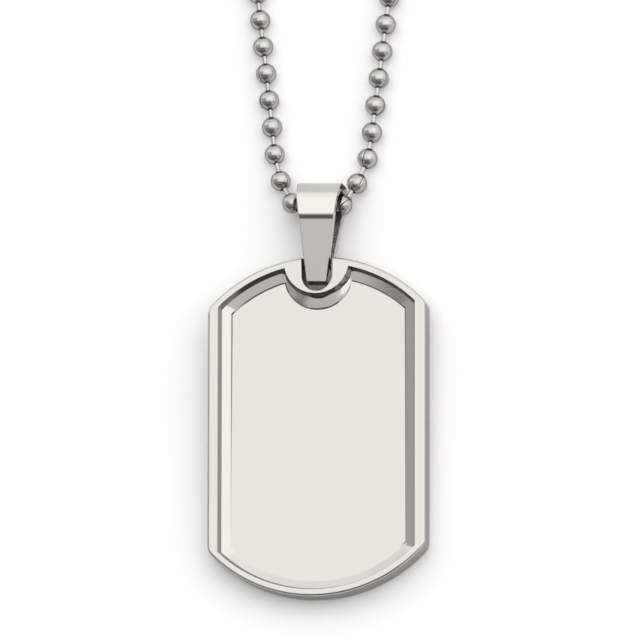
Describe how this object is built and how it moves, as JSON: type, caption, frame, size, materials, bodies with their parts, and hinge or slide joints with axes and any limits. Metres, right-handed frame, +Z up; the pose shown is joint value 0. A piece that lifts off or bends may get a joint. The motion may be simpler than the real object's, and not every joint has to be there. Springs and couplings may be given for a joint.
{
  "type": "identification dog tag on a ball chain",
  "caption": "Rectangular steel identification tag with arched ends and a sunk blank field, gripped by a tapered bail that runs on a closed ball chain worn round the neck.",
  "frame": {"origin": "middle of the whole lying piece's bounding box, on the surface that it lies on", "axes": "+Y along the necklace from the tag's lower end to the clasp, +Z up from the surface, +X to the viewer's right with the tag's lower end towards the viewer"},
  "size_m": [0.0698, 0.3302, 0.0066],
  "materials": {
    "tag_steel": "mirror-polished stainless steel",
    "bail_steel": "polished stainless steel",
    "chain_steel": "polished stainless steel beads with a fine satin grain"
  },
  "bodies": {
    "root": {"tag": "tag_steel", "bail": "bail_steel", "ball_chain": "chain_steel", "clasp": "chain_steel"}
  },
  "joints": []
}
